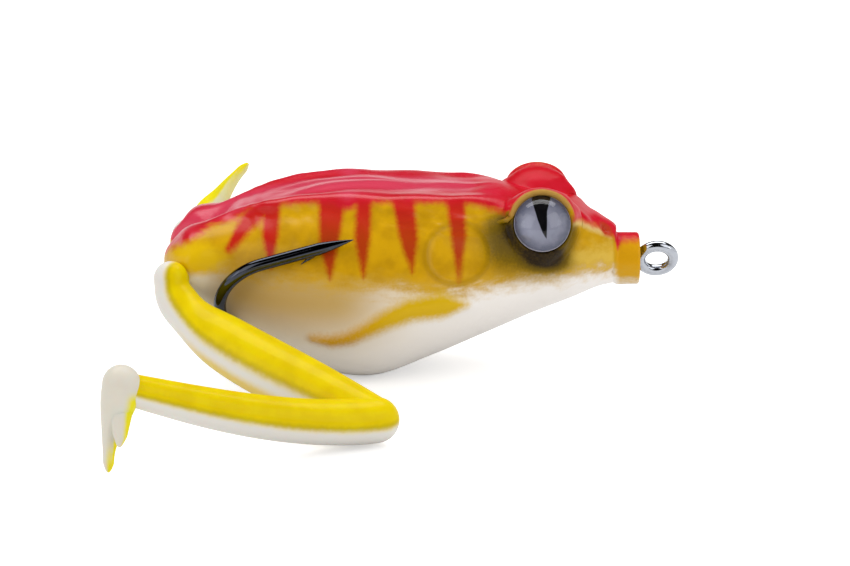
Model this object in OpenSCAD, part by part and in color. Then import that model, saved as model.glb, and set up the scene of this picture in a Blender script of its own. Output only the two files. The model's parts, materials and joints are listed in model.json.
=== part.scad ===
// Hollow-body topwater frog lure: a soft shell on a double hook, with two legs that kick.
// +X points to the nose, +Y to the frog's left, +Z up, and the belly rests on z = 0 at the origin.

/* [Body] */
// Length from rump to the front of the nose collar
body_l = 58; // [50:0.5:68]
// Greatest width across the flanks
body_w = 26; // [22:0.5:32]
// Height from belly to back
body_h = 23.4; // [20:0.2:28]
// Distance from the belly rest to the rump
tail_reach = 25; // [22:0.5:28]
// Wall of the soft shell
wall = 1.8; // [1.2:0.1:2.4]
// Height of the ridge along each side of the back
ridge_h = 1.1; // [0.4:0.1:1.6]

/* [Nose collar] */
// Outer diameter of the collar round the line tie
collar_d = 6.4; // [5.4:0.1:7]
// Length of the collar
collar_l = 3.2; // [2:0.1:5]
// Diameter of the collar's mouth, where the ring's neck sits
mouth_d = 4.2; // [3.8:0.1:4.6]

/* [Eyes] */
// Diameter of the clear lens
eye_d = 6.6; // [5.6:0.1:7]
// Radius of the dome that holds each eye
dome_r = 4.7; // [4.4:0.1:5.2]
// Distance from the dome's centre to the floor of the eye socket
socket_at = 2.2; // [1.8:0.1:2.6]
// Thickness of the printed iris disc
iris_t = 0.4; // [0.2:0.1:0.6]
// Straight edge of the lens
lens_edge = 0.8; // [0.4:0.1:1.2]
// Crown of the lens above its edge
lens_crown = 1.7; // [1:0.1:2.2]
// Thickness of the raised eyelid
lid_d = 1.2; // [0.8:0.1:1.6]
// Angle by which the eyes look up
eye_up = 24; // [10:1:30]
// Angle by which the eyes look forward
eye_ahead = 2; // [0:1:15]

/* [Line tie] */
// Wire diameter of the line tie
tie_d = 1.35; // [1:0.05:1.5]
// Inner diameter of its ring
ring_id = 2.7; // [2.3:0.1:3.4]
// Length of the round land inside the ring
ring_land = 0.4; // [0.2:0.1:0.6]
// Depth of the ring's wire in the mouth of the collar
ring_sunk = 0.5; // [0.3:0.1:0.7]
// Length of the straight wire through the nose
tie_l = 6.8; // [6.4:0.1:7.6]
// Inner diameter of the rear eye, which links with the hook's
link_id = 3.8; // [3.6:0.1:4]
// Lean of the ring from upright
tie_roll = 29; // [0:1:30]

/* [Double hook] */
// Wire diameter of the hook
hook_d = 1.5; // [1.2:0.05:1.7]
// Inner diameter of the hook's eye
hook_eye_id = 2.8; // [2.6:0.1:3]
// Gap between shank and point, on the wire's centreline
hook_gap = 13.6; // [12:0.1:15]
// Straight wire from the end of the bend to the tip of the point
point_l = 11.2; // [9:0.1:13]
// Length of the ground point
point_taper = 4.2; // [3:0.1:5]
// Length of the barb
barb_l = 1.8; // [1.2:0.1:2.4]
// Slope of the shank down from the nose
hook_slope = 15.5; // [14:0.5:17]
// Distance of each shank from the middle, at the bend
shank_spread = 5.4; // [4.5:0.1:6]

/* [Keel weight] */
// Length of the lead cast round the shanks
weight_l = 13; // [9:0.5:16]
// Thickness of the lead
weight_t = 4; // [3:0.1:5]

/* [Legs] */
// Hip hinge to knee hinge
thigh_l = 33.2; // [29:0.2:36]
// Knee hinge to ankle hinge
shin_l = 31; // [28:0.2:35]
// Thigh at its thickest
thigh_d = 7; // [6:0.1:7.6]
// Leg at the hip
hip_d = 5; // [4.4:0.1:5.4]
// Leg at the knee
knee_d = 5.2; // [4.4:0.1:5.6]
// Leg at the ankle
ankle_d = 3.4; // [2.8:0.1:3.8]
// Stem that plugs into the body
stem_d = 2.4; // [1.8:0.1:2.8]
// Thigh turned out from straight ahead
thigh_yaw = 40; // [37:1:46]
// Fold of the right knee from a straight leg
right_fold = 117; // [100:1:121]
// Fold of the left knee from a straight leg
left_fold = 108; // [96:1:121]
// Slope of the folded right leg down to the knee
right_pitch = 19; // [15:0.5:19.5]
// Droop of the folded right leg out from the body
right_roll = 6.5; // [4:0.5:7.5]
// Slope of the folded left leg down to the knee
left_pitch = 15; // [12:0.5:15.5]
// Droop of the folded left leg out from the body
left_roll = 10.5; // [8:0.5:11.5]
// Bow of the thigh
thigh_sag = 2.8; // [0:0.1:3.2]
// Bow of the shin
shin_sag = 1.4; // [0:0.1:2]

/* [Feet] */
// Ankle hinge to toe tip
foot_l = 10.3; // [8:0.1:10.6]
// Width of the paddle
foot_w = 5; // [4:0.1:6]
// Thickness of the paddle
foot_t = 1.2; // [0.9:0.1:1.6]
// Flex of the right foot towards its knee
right_flex = 6; // [0:1:28]
// Flex of the left foot towards its knee
left_flex = 24; // [0:1:28]
// Twist of the feet out round their shins
foot_twist = 6; // [0:1:20]

/* [Clearances] */
// Lens in its socket, all round
eye_fit = 0.06; // [0.02:0.01:0.12]
// Line tie in the nose bore, all round
bore_fit = 0.06; // [0.02:0.01:0.1]
// Between the soft pieces of a leg
leg_gap = 0.15; // [0.1:0.01:0.3]
// Leg stem in the hip bore, all round
stem_fit = 0.05; // [0.02:0.01:0.1]
// Hook in its slot, all round
slot_gap = 0.4; // [0.2:0.05:0.6]
// Hook's bend ahead of the hip hinge, clear of the thigh
bend_gap = 6.7; // [6.7:0.1:8]
// Hook point off the flank
point_gap = 0.5; // [0.3:0.05:1]
// Lead off the wire
cast_gap = 0.03; // [0.02:0.01:0.06]
// Slack of the linked eyes of line tie and hook along the pull
link_slack = 1.2; // [1.1:0.05:1.3]
// Line tie off the walls of its pocket and of the collar's mouth
pocket_gap = 0.2; // [0.1:0.05:0.3]

/* [Hidden] */
$fn = 48;

// Body outline, in percent: place from rump to collar, then half width of body_w, and belly, back and
// widest level of body_h
outline = [[0, 67, 37, 76, 62], [9, 70, 30, 83, 62], [16.5, 74, 20, 88, 61], [25.5, 89, 9, 94, 57],
           [36.5, 99, 1, 99, 52], [47.5, 100, -1, 100, 50], [60, 95, 10, 99, 52], [71, 84, 21, 98, 56],
           [82, 69, 32, 94, 60], [91, 53, 40, 90, 60], [96.5, 38, 45, 85, 60], [100, 26, 46.5, 75, 59]];
upper_power = 2.4;
lower_power = 2.1;
rump_round = 8;
moulding_l = body_l - collar_l;
nose_x = body_l - tail_reach;
nose_z = share(4, 100) * body_h;
half_w = body_w / 2;

ridge_at = 58;
ridge_spread = 8;
ridge_starts = [8, 26];
ridge_ends = [66, 80];
dome_at = [83.5, 44, 81];
dome_c = [place(dome_at[0]), half_w * dome_at[1] / 100, body_h * dome_at[2] / 100];
blend = 1.6;
lid_lap = 0.1;
lid_r = eye_d / 2 + eye_fit + lid_d / 2 - lid_lap;
lid_sweep = 210;
lobe_at = [7, 14];
lobe_spread = [6, 30];
lobe_h = 1.5;
cleft = 1.2;
cleft_w = 2.5;
cleft_l = 10;
cavity_at = [9, 96];
nostril_at = [97, 22, 78];
nostril_d = 1;
rump_rings = 6;
body_rings = 42;
body_sides = 48;
hollow_rings = 16;
hollow_sides = 20;
collar_root = 1;

// Hip hinge and inner end of its stem: ahead of the rump, in from the flank, and height in percent
hip_at = [2.4, 2.3, 58.5];
stem_at = [5.4, 7.5, 66];
hip = hip_place(hip_at);
stem_from = hip_place(stem_at);

tie_r = tie_d / 2;
ring_r = ring_id / 2 + sqrt(tie_r ^ 2 - ring_land ^ 2 / 4);
tie_eye_r = link_id / 2 + tie_r;
ring_x = nose_x - ring_sunk + tie_r + ring_r;
tie_eye_x = ring_x - ring_r - tie_l - tie_eye_r;
mouth_depth = ring_sunk + pocket_gap;

hook_r = hook_d / 2;
hook_eye_r = hook_eye_id / 2 + hook_r;
hook_eye_x = tie_eye_x - (tie_eye_r + hook_eye_r - tie_r - hook_r - link_slack);
braze = 0.05;
shank_y = hook_r - braze;
spread_bend = 18;
spread_r = 6;
spread_run = (shank_spread - shank_y - 2 * spread_r * (1 - cos(spread_bend))) / sin(spread_bend);
spread_l = 2 * spread_r * sin(spread_bend) + spread_run * cos(spread_bend);
bend_x = hip[0] + bend_gap + hook_gap / 2;
shank_l = (hook_eye_x - bend_x) / cos(hook_slope);
straight_l = shank_l / 5;
front_l = shank_l - straight_l - spread_l;
arm_tilt = tilt_for(4);
tip_r = 0.06;
bend_step = 12;
wire_sides = 12;
barb_t = 0.5;
barb_h = 0.7;
barb_back = 0.8;
barb_turn = 20;
weight_end = front_l + spread_l;
weight_front_y = 1.5;
weight_rear_y = shank_spread - 1;
weight_r = weight_t / 2;

knuckle_swell = 0.1;
heel_swell = 0.4;
knuckle_ball = 1.2;
hip_r = hip_d / 2 + knuckle_swell;
knee_r = knee_d / 2 + knuckle_swell;
heel_r = ankle_d / 2 + heel_swell;
heel_lip = 1.8;
shin_swell = 0.5;
thigh_early = 0.55;
shin_early = 0.8;
limb_rings = 14;
limb_sides = 16;
plug_barb_l = 1.6;
plug_barb_h = 0.6;

function tail_x() = -tail_reach;
function hip_place(q) = [tail_x() + q[0], half_w - q[1], q[2] * body_h / 100];
function place(p) = tail_x() + moulding_l * p / 100;
function mix(a, b, u) = a + (b - a) * u;
function ramp(a, b, v) = let (u = min(1, max(0, (v - a) / (b - a)))) u * u * (3 - 2 * u);
function bell(v, width) = exp(-(v / width) ^ 2);

// Cubic through the outline's stations: column c at place p, as a share
function station(p, i = 0) = i < len(outline) - 2 && p > outline[i + 1][0] ? station(p, i + 1) : i;
function slope(c, i) = let (a = outline[max(0, i - 1)], b = outline[min(len(outline) - 1, i + 1)])
    (b[c] - a[c]) / (b[0] - a[0]);
function share(c, p) = let (i = station(p), a = outline[i], b = outline[i + 1], h = b[0] - a[0],
                            u = (p - a[0]) / h, v = 1 - u)
    (v * v * (1 + 2 * u) * a[c] + u * u * (3 - 2 * u) * b[c]
     + u * v * h * (v * slope(c, i) - u * slope(c, i + 1))) / 100;

// Half width, belly, back and widest level at place p, drawn in round the rump and inset by a wall
function rounding(p) = p < rump_round ? sqrt(1 - (1 - p / rump_round) ^ 2) : 1;
function section(p, inset) = let (e = rounding(p), level = share(4, p) * body_h)
    [e * share(1, p) * half_w - inset, mix(level, share(2, p) * body_h, e) + inset,
     mix(level, share(3, p) * body_h, e) - inset, level];
function oval(a, w, h, n) = w < 0.01 ? 0 : ((abs(cos(a)) / w) ^ n + (abs(sin(a)) / h) ^ n) ^ (-1 / n);
function plain_radius(s, a) = a < 180 ? oval(a, s[0], s[2] - s[3], upper_power)
                                      : oval(a, s[0], s[3] - s[1], lower_power);

// Half width of the plain flank at x and height z
function flank(x, z) = let (s = section((x - tail_x()) / moulding_l * 100, 0), up = z > s[3],
                            n = up ? upper_power : lower_power, h = up ? s[2] - s[3] : s[3] - s[1])
    s[0] * max(0, 1 - abs((z - s[3]) / h) ^ n) ^ (1 / n);

// Distance along a ray from the middle of the section to the far side of the eye dome
function dome_radius(p, a, level) = let (up = dome_c[2] - level, b = dome_c[1] * abs(cos(a)) + up * sin(a),
        d = b * b - dome_c[1] ^ 2 - up ^ 2 + dome_r ^ 2 - (place(p) - dome_c[0]) ^ 2)
    d > 0 ? b + sqrt(d) : 0;
function join(a, b) = max(a, b) + max(0, blend - abs(a - b)) ^ 2 / (4 * blend);

// Outer skin at place p and angle a: oval, back ridges, hip lobes, then the eye domes
function side(a) = a < 180 ? min(a, 180 - a) : -min(a - 180, 360 - a);
function skin(p, a) = let (s = section(p, 0), q = side(a), e = rounding(p),
        along = ramp(ridge_starts[0], ridge_starts[1], p) * (1 - ramp(ridge_ends[0], ridge_ends[1], p)),
        ridge = ridge_h * bell(q - ridge_at, ridge_spread) * along,
        lobe = lobe_h * e * bell(p - lobe_at[0], lobe_spread[0]) * bell(q - lobe_at[1], lobe_spread[1]),
        r = join(plain_radius(s, a) + ridge + lobe, dome_radius(p, a, s[3])), y = r * cos(a))
    [place(p) + cleft * bell(y, cleft_w) * (1 - ramp(0, cleft_l, p)), y, s[3] + r * sin(a)];
function hollow(p, a) = let (s = section(p, wall), from = cavity_at[0], to = cavity_at[1],
        e = sqrt(max(0, 1 - abs((2 * p - from - to) / (to - from)) ^ 6)), r = e * plain_radius(s, a))
    [place(p), r * cos(a), s[3] + r * sin(a)];

// Rings of points joined into one closed skin, with a fan over each end
function around(n) = [for (j = [0 : n - 1]) (j + 0.5) * 360 / n];
function mean(ring) = [for (c = [0 : 2]) [for (q = ring) q[c]] * [for (q = ring) 1] / len(ring)];
module skin_over(rings) {
    n = len(rings[0]);
    m = len(rings);
    walls = [for (i = [0 : m - 2], j = [0 : n - 1]) let (k = (j + 1) % n, a = i * n)
             each [[a + j, a + n + j, a + k], [a + k, a + n + j, a + n + k]]];
    ends = [for (j = [0 : n - 1]) let (k = (j + 1) % n)
            each [[m * n, j, k], [m * n + 1, (m - 1) * n + k, (m - 1) * n + j]]];
    polyhedron([each [for (r = rings) each r], mean(rings[0]), mean(rings[m - 1])], concat(walls, ends));
}

// Shank line and the height of the point's wire above the floor at x, for an arm leaning by t
function shank_z(x) = nose_z - (hook_eye_x - x) * tan(hook_slope);
function wire_z(x, t) = shank_z(x) + hook_gap * cos(t) / cos(hook_slope);
function reach(t) = max([for (u = [0 : 0.25 : 1]) let (x = bend_x - hook_gap / 4 + u * point_l)
                         flank(x, wire_z(x, t))]) + hook_r + point_gap;
function tilt_for(n) = n == 0 ? 29 : asin(min(0.9, (reach(tilt_for(n - 1)) - shank_spread) / hook_gap));

// Frames along a bent wire, each [place, side, up, ahead]: a step is [straight, bend radius, bend angle,
// direction of the bend], and the sides never twist round the wire
function rolled(f, a) = [f[0], f[1] * cos(a) + f[2] * sin(a), f[2] * cos(a) - f[1] * sin(a), f[3]];
function ahead(f, l) = [f[0] + f[3] * l, f[1], f[2], f[3]];
function curled(f, r, a) = [f[0] + f[1] * r * (1 - cos(a)) + f[3] * r * sin(a),
                            f[1] * cos(a) - f[3] * sin(a), f[2], f[3] * cos(a) + f[1] * sin(a)];
function bent(f, r, a, way) = rolled(curled(rolled(f, way), r, a), -way);
function route(steps, f, i = 0) = i == len(steps) ? [f] :
    let (s = steps[i], g = ahead(f, s[0]), n = ceil(s[2] / bend_step))
    concat([f], [for (k = [0 : n - 1]) bent(g, s[1], s[2] * k / n, s[3])],
           route(steps, bent(g, s[1], s[2], s[3]), i + 1));
function hoop(f, r) = [for (a = around(wire_sides)) f[0] + r * (f[1] * cos(a) + f[2] * sin(a))];
module torus(ring, r) rotate_extrude() translate([ring, 0]) circle(r);

// Places: the hook's eye with the shank along -X, an eye with its axis along +Z, and a leg's hip
module on_hook() translate([hook_eye_x, 0, nose_z]) rotate([0, -hook_slope, 0]) children();
module on_eye() translate(dome_c) rotate([0, 0, 90 - eye_ahead]) rotate([0, 90 - eye_up, 0]) children();
module right() mirror([0, 1, 0]) children();
module on_fold(roll, pitch) translate(hip) rotate([-roll, 0, 0]) rotate([0, pitch, 0]) children();
module on_right_leg() right() on_fold(right_roll, right_pitch) children();
module on_left_leg() on_fold(left_roll, left_pitch) mirror([0, 0, 1]) children();
module at_knee() rotate(thigh_yaw) translate([thigh_l, 0, 0]) children();
module at_ankle(fold) at_knee() rotate(fold) translate([shin_l, 0, 0])
    rotate([-foot_twist, 0, 0]) children();

// Left arm of the hook: brazed front, spread, straight rear, round bend and straight wire to the point
arm_start = [[-hook_eye_r, shank_y, 0], [0, 1, 0], [0, 0, -1], [-1, 0, 0]];
arm = route([[front_l - hook_eye_r, spread_r, spread_bend, 0], [spread_run, spread_r, spread_bend, 180],
             [straight_l, hook_gap / 2, 180, arm_tilt - 90], [point_l - point_taper, 0, 0, 0]], arm_start);
arm_end = arm[len(arm) - 1];
module arm_wire(r, tip) {
    sharp = ahead(arm_end, point_taper);
    skin_over(concat([for (f = arm) hoop(f, r)], [hoop(sharp, tip)]));
}

// Barb on the inner side of the straight wire, behind the ground point
module barb() {
    side = rolled(arm_end, arm_tilt - 90 + barb_turn);
    place = [for (c = [0 : 2]) [side[1][c], side[2][c], side[3][c], side[0][c]]];
    multmatrix(concat(place, [[0, 0, 0, 1]])) rotate([90, 0, 0]) linear_extrude(barb_t, center = true)
        polygon([[hook_r / 2, -barb_back], [hook_r / 2, -barb_back - barb_l],
                 [hook_r + barb_h, -barb_back - barb_l]]);
}

// Plug of a leg along +Z, with its barb, larger all round by a clearance
module plug(gap) {
    cylinder(h = norm(hip - stem_from), r = stem_d / 2 + gap);
    translate([0, 0, -gap])
        cylinder(h = plug_barb_l + 2 * gap, r1 = stem_d / 2 + plug_barb_h + gap, r2 = stem_d / 2 + gap);
}
module on_plug() {
    way = hip - stem_from;
    translate(stem_from) rotate([0, acos(way[2] / norm(way)), atan2(way[1], way[0])]) children();
}

// Round knuckle on a hinge axis, and the saddle that it turns in
module knuckle(r) intersection() {
    cylinder(h = 2 * r, r = r, center = true);
    sphere(knuckle_ball * r);
}
module saddle(r) cylinder(h = 4 * thigh_d, r = r + leg_gap, center = true);

// Limb along +X, thickest near its middle, that sags a little
module limb(l, d0, d1, d_mid, sag, early) {
    full = (d_mid - (d0 + d1) / 2) / 2;
    skin_over([for (i = [0 : limb_rings]) let (u = i / limb_rings, low = sag * sin(180 * u ^ early),
                                               r = mix(d0, d1, u) / 2 + full * sin(180 * u))
               [for (a = around(limb_sides)) [l * u, r * cos(a), r * sin(a) - low]]]);
}

// Half space past the crease of the knee, as seen from the thigh (turn 0) or the shin (turn 180)
module past_crease(fold, turn) {
    size = 2 * thigh_l;
    rotate((180 + fold) / 2 + turn)
        translate([-size, -size + leg_gap / 2, -size]) cube([2 * size, size, 2 * size]);
}

module body_shell() {
    rear = [for (i = [0.2, each [1 : rump_rings]]) rump_round * (1 - cos(i * 90 / rump_rings))];
    front = [for (i = [1 : body_rings]) mix(rump_round, 100, i / body_rings)];
    color("gold") difference() {
        union() {
            skin_over([for (p = concat(rear, front)) [for (a = around(body_sides)) skin(p, a)]]);
            translate([nose_x - collar_l - collar_root, 0, nose_z]) rotate([0, 90, 0])
                cylinder(h = collar_l + collar_root, d = collar_d);
            eyelid();
            right() eyelid();
        }
        skin_over([for (i = [0 : hollow_rings]) let (p = mix(cavity_at[0], cavity_at[1], i / hollow_rings))
                   [for (a = around(hollow_sides)) hollow(p, a)]]);
        translate([-body_l, -body_w, -body_h]) cube([2 * body_l, 2 * body_w, body_h]);
        translate([tie_eye_x, 0, nose_z]) rotate([0, 90, 0]) cylinder(h = body_l, r = tie_r + bore_fit);
        translate([nose_x - mouth_depth, 0, nose_z]) rotate([0, 90, 0]) cylinder(h = body_l, d = mouth_d);
        translate([tie_eye_x, 0, nose_z]) sphere(tie_eye_r + tie_r + pocket_gap);
        opened();
        right() opened();
    }
}

// Raised lid over the upper half of an eye
module eyelid() on_eye() translate([0, 0, sqrt(dome_r ^ 2 - lid_r ^ 2)]) rotate(180 - lid_sweep / 2)
    rotate_extrude(angle = lid_sweep) translate([lid_r, 0]) circle(d = lid_d);

// What is cut from one side of the shell: eye socket, nostril, hip bore and hook slot
module opened() {
    translate([place(nostril_at[0]), half_w * nostril_at[1] / 100, body_h * nostril_at[2] / 100])
        sphere(d = nostril_d);
    on_eye() translate([0, 0, socket_at]) cylinder(h = dome_r, r = eye_d / 2 + eye_fit);
    on_plug() plug(stem_fit);
    translate(hip) sphere(knuckle_ball * hip_r + leg_gap);
    on_hook() arm_wire(hook_r + slot_gap, hook_r + slot_gap);
}

module eye_iris() color("silver") on_eye() translate([0, 0, socket_at]) cylinder(h = iris_t, d = eye_d);

module eye_lens() color("whitesmoke") on_eye() translate([0, 0, socket_at + iris_t]) intersection() {
    curve = (eye_d ^ 2 / 4 + lens_crown ^ 2) / (2 * lens_crown);
    cylinder(h = lens_edge + lens_crown, d = eye_d);
    translate([0, 0, lens_edge + lens_crown - curve]) sphere(curve);
}

module line_tie() color("lightsteelblue") translate([0, 0, nose_z]) rotate([tie_roll, 0, 0]) {
    difference() {
        translate([ring_x, 0, 0]) rotate([90, 0, 0]) torus(ring_r, tie_r);
        translate([ring_x, 0, 0]) rotate([90, 0, 0]) cylinder(h = 2 * tie_d, d = ring_id, center = true);
    }
    translate([tie_eye_x + tie_eye_r, 0, 0]) rotate([0, 90, 0]) cylinder(h = tie_l, r = tie_r);
    translate([tie_eye_x, 0, 0]) rotate([90, 0, 0]) torus(tie_eye_r, tie_r);
}

module double_hook() color("dimgray") on_hook() {
    torus(hook_eye_r, hook_r);
    hook_arm();
    right() hook_arm();
}
module hook_arm() {
    arm_wire(hook_r, tip_r);
    barb();
}

module keel_weight() color("slategray") on_hook() difference() {
    hull() for (m = [-1, 1]) {
        translate([-weight_end, m * weight_rear_y, 0]) sphere(weight_r, $fn = 24);
        translate([weight_l - weight_t - weight_end, m * weight_front_y, 0]) sphere(weight_r, $fn = 24);
    }
    arm_wire(hook_r + cast_gap, hook_r);
    right() arm_wire(hook_r + cast_gap, hook_r);
}

// Pieces of one leg, on the left side of the body with the foot down
module leg_root(roll, pitch) color("gold") {
    on_plug() plug(0);
    on_fold(roll, pitch) knuckle(hip_r);
}
module thigh(fold, sag) color("yellow") difference() {
    rotate(thigh_yaw) limb(thigh_l, hip_d, knee_d, thigh_d, sag, thigh_early);
    saddle(hip_r);
    at_knee() {
        saddle(knee_r);
        past_crease(fold, 0);
    }
}
module shin(fold, sag) color("yellow") difference() {
    at_knee() {
        knuckle(knee_r);
        difference() {
            rotate(fold) limb(shin_l, knee_d, ankle_d, (knee_d + ankle_d) / 2 + shin_swell, sag, shin_early);
            past_crease(fold, 180);
        }
    }
    at_ankle(fold) {
        rotate([90, 0, 0]) saddle(heel_r);
        translate([-heel_lip, -thigh_d, -thigh_d]) cube(2 * thigh_d);
    }
}
module foot(fold, flex) color("ivory") at_ankle(fold) rotate([0, flex, 0]) {
    rotate([90, 0, 0]) knuckle(heel_r);
    translate([-foot_t / 2, 0, 0]) rotate([0, 90, 0]) rotate(-90) linear_extrude(foot_t) toes();
}

// Paddle outline down +Y from the heel: a long toe on the inner side and a shorter one beside it
function spread(u) = mix(0.5, 1, ramp(0.1, 0.5, u));
module toes() {
    inner = [for (u = [0 : 0.05 : 1]) [-foot_w / 2 * spread(u) * mix(1, 0.6, ramp(0.6, 1, u)), foot_l * u]];
    outer = [for (u = [1 : -0.05 : 0])
             [foot_w / 2 * mix(spread(u), mix(-0.15, -0.6, u), ramp(0.5, 0.6, u)), foot_l * u]];
    polygon(concat(inner, outer));
}

module left_eye_iris() eye_iris();
module right_eye_iris() right() eye_iris();
module left_eye_lens() eye_lens();
module right_eye_lens() right() eye_lens();
module left_leg_root() leg_root(left_roll, left_pitch);
module right_leg_root() right() leg_root(right_roll, right_pitch);
module left_thigh() on_left_leg() thigh(left_fold, -thigh_sag);
module right_thigh() on_right_leg() thigh(right_fold, thigh_sag);
module left_shin() on_left_leg() shin(left_fold, -shin_sag);
module right_shin() on_right_leg() shin(right_fold, shin_sag);
module left_foot() on_left_leg() foot(left_fold, left_flex);
module right_foot() on_right_leg() foot(right_fold, right_flex);

body_shell();
left_eye_iris();
right_eye_iris();
left_eye_lens();
right_eye_lens();
line_tie();
double_hook();
keel_weight();
left_leg_root();
right_leg_root();
left_thigh();
right_thigh();
left_shin();
right_shin();
left_foot();
right_foot();
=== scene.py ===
import json
import bpy
import numpy as np
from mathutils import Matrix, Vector


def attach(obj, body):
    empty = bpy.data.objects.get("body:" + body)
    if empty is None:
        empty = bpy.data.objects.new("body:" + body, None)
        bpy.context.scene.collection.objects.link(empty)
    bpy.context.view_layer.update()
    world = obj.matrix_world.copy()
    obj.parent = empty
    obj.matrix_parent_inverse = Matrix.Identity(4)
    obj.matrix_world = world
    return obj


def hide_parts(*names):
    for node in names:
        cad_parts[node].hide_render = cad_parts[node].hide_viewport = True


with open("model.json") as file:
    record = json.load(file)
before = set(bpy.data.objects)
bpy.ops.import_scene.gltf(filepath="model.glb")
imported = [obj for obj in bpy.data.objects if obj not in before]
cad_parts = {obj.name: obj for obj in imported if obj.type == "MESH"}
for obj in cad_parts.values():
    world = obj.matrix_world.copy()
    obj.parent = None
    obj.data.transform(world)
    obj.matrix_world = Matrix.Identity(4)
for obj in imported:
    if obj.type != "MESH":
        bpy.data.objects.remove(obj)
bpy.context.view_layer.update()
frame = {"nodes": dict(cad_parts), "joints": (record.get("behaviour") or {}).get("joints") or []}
mm = 0.001
joints = {j["name"]: j for j in frame["joints"]}


# Numbers: all shapes are worked out in millimetres in the row frame, +X to the nose and +Z up
def unit(v):
    return v / np.linalg.norm(v, axis=-1, keepdims=True)


def mix(a, b, u):
    return a + (b - a) * u


def ramp(low, high, v):
    u = np.clip((v - low) / (high - low), 0, 1)
    return u * u * (3 - 2 * u)


def bell(v, width):
    return np.exp(-(v / width) ** 2)


def along(table, v):
    xs, ys = np.array(table, float).T
    return np.interp(v, xs, ys)


def offPath(path, x, z):
    # Distance in the side view from each point to a chain of straight lines
    best = np.full(x.shape, 1e3)
    for (xa, za), (xb, zb) in zip(path[:-1], path[1:]):
        dx, dz = xb - xa, zb - za
        u = np.clip(((x - xa) * dx + (z - za) * dz) / (dx * dx + dz * dz), 0, 1)
        best = np.minimum(best, np.hypot(x - xa - u * dx, z - za - u * dz))
    return best


def jointAt(name):
    return np.array(joints[name]["pos_m"]) / mm


def jointAxis(name):
    return unit(np.array(joints[name]["axis"], float))


# Meshes: rows of points joined into quads, with a fan over each end, or the last row joined to the first
def gridShell(rings, loop=False):
    rows, sides = rings.shape[:2]
    points = rings.reshape(-1, 3)
    i, j = np.meshgrid(np.arange(rows if loop else rows - 1), np.arange(sides), indexing="ij")
    k, n = (j + 1) % sides, (i + 1) % rows
    quads = np.stack([i * sides + j, i * sides + k, n * sides + k, n * sides + j], -1).reshape(-1, 4)
    fans = np.zeros((0, 3), int)
    if not loop:
        points = np.concatenate([points, [rings[0].mean(0), rings[-1].mean(0)]])
        here = np.arange(sides)
        after = (here + 1) % sides
        last, pole = (rows - 1) * sides, np.full(sides, rows * sides)
        fans = np.concatenate([np.stack([pole, after, here], -1),
                               np.stack([pole + 1, last + here, last + after], -1)])
    corners = np.concatenate([quads[:, :3], quads[:, [0, 2, 3]], fans])
    a, b, c = (points[corners[:, m]] - points.mean(0) for m in range(3))
    if np.einsum("ij,ij->", a, np.cross(b, c)) < 0:    # signed volume: faces look outward
        quads, fans = quads[:, ::-1], fans[:, ::-1]
    return points, quads, fans


def addObject(name, data):
    thing = bpy.data.objects.new(name, data)
    bpy.context.scene.collection.objects.link(thing)
    return thing


def makePiece(name, shells, material, body, stands):
    # Each shell is (rings, loop, fields): a field is one number per point, and an end point takes the mean
    # of its row
    allPoints, allFaces, fields, start = [], [], {}, 0
    for rings, loop, values in shells:
        points, quads, fans = gridShell(rings, loop)
        allPoints.append(points)
        allFaces += (quads + start).tolist() + (fans + start).tolist()
        for key, field in values.items():
            ends = [] if loop else [field[0].mean(), field[-1].mean()]
            fields.setdefault(key, []).append(np.concatenate([field.ravel(), ends]))
        start += len(points)
    mesh = bpy.data.meshes.new(name)
    mesh.from_pydata((np.concatenate(allPoints) * mm).tolist(), [], allFaces)
    for key, parts in fields.items():
        layer = mesh.attributes.new(key, "FLOAT", "POINT")
        layer.data.foreach_set("value", np.concatenate(parts).astype(np.float32))
    mesh.polygons.foreach_set("use_smooth", np.ones(len(mesh.polygons), bool))
    mesh.materials.append(material)
    piece = addObject(name, mesh)
    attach(piece, body)
    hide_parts(*stands)
    return piece


def tube(centres, sides, ups, radii, count=32):
    # Ring of points round each centre
    a = np.linspace(0, 2 * np.pi, count, endpoint=False)
    ring = np.cos(a)[None, :, None] * sides[:, None] + np.sin(a)[None, :, None] * ups[:, None]
    return centres[:, None] + radii[:, None, None] * ring


def ball(centre, radius, pole, rows=32, count=48):
    # Sphere in rings about its pole
    t = np.linspace(0.03, np.pi - 0.03, rows)
    side = unit(np.cross(pole, [0.3, 0.2, 0.9]))
    up = np.cross(pole, side)
    centres = centre - radius * np.cos(t)[:, None] * pole
    return tube(centres, np.tile(side, (rows, 1)), np.tile(up, (rows, 1)), radius * np.sin(t), count)


def hoop(centre, axis, ringRadius, wireRadius, rows=72, count=28):
    # Torus about an axis
    t = np.linspace(0, 2 * np.pi, rows, endpoint=False)[:, None]
    side = unit(np.cross(axis, [0.31, 0.2, 0.93]))
    out = np.cos(t) * side + np.sin(t) * np.cross(axis, side)
    return tube(centre + ringRadius * out, out, np.tile(axis, (rows, 1)), np.full(rows, wireRadius), count)


def turned(profile, centre, axis, count=72):
    # Profile of (radius, height) turned about an axis
    r, h = np.array(profile, float).T
    side = unit(np.cross(axis, [0.31, 0.2, 0.93]))
    up = np.cross(axis, side)
    return tube(centre + h[:, None] * axis, np.tile(side, (len(r), 1)), np.tile(up, (len(r), 1)), r, count)


# Materials
def colour(code):
    # sRGB hex code to linear light
    c = np.array([int(code[i:i + 2], 16) for i in (1, 3, 5)]) / 255
    c = np.where(c < 0.04045, c / 12.92, ((c + 0.055) / 1.055) ** 2.4)
    return (*[float(v) for v in c], 1.0)


def newMaterial(name, values):
    # Plain values go on the shader's own sockets
    material = bpy.data.materials.new(name)
    material.use_nodes = True
    shader = material.node_tree.nodes["Principled BSDF"]
    for key, value in values.items():
        shader.inputs[key].default_value = value
    return material, material.node_tree, shader


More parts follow.
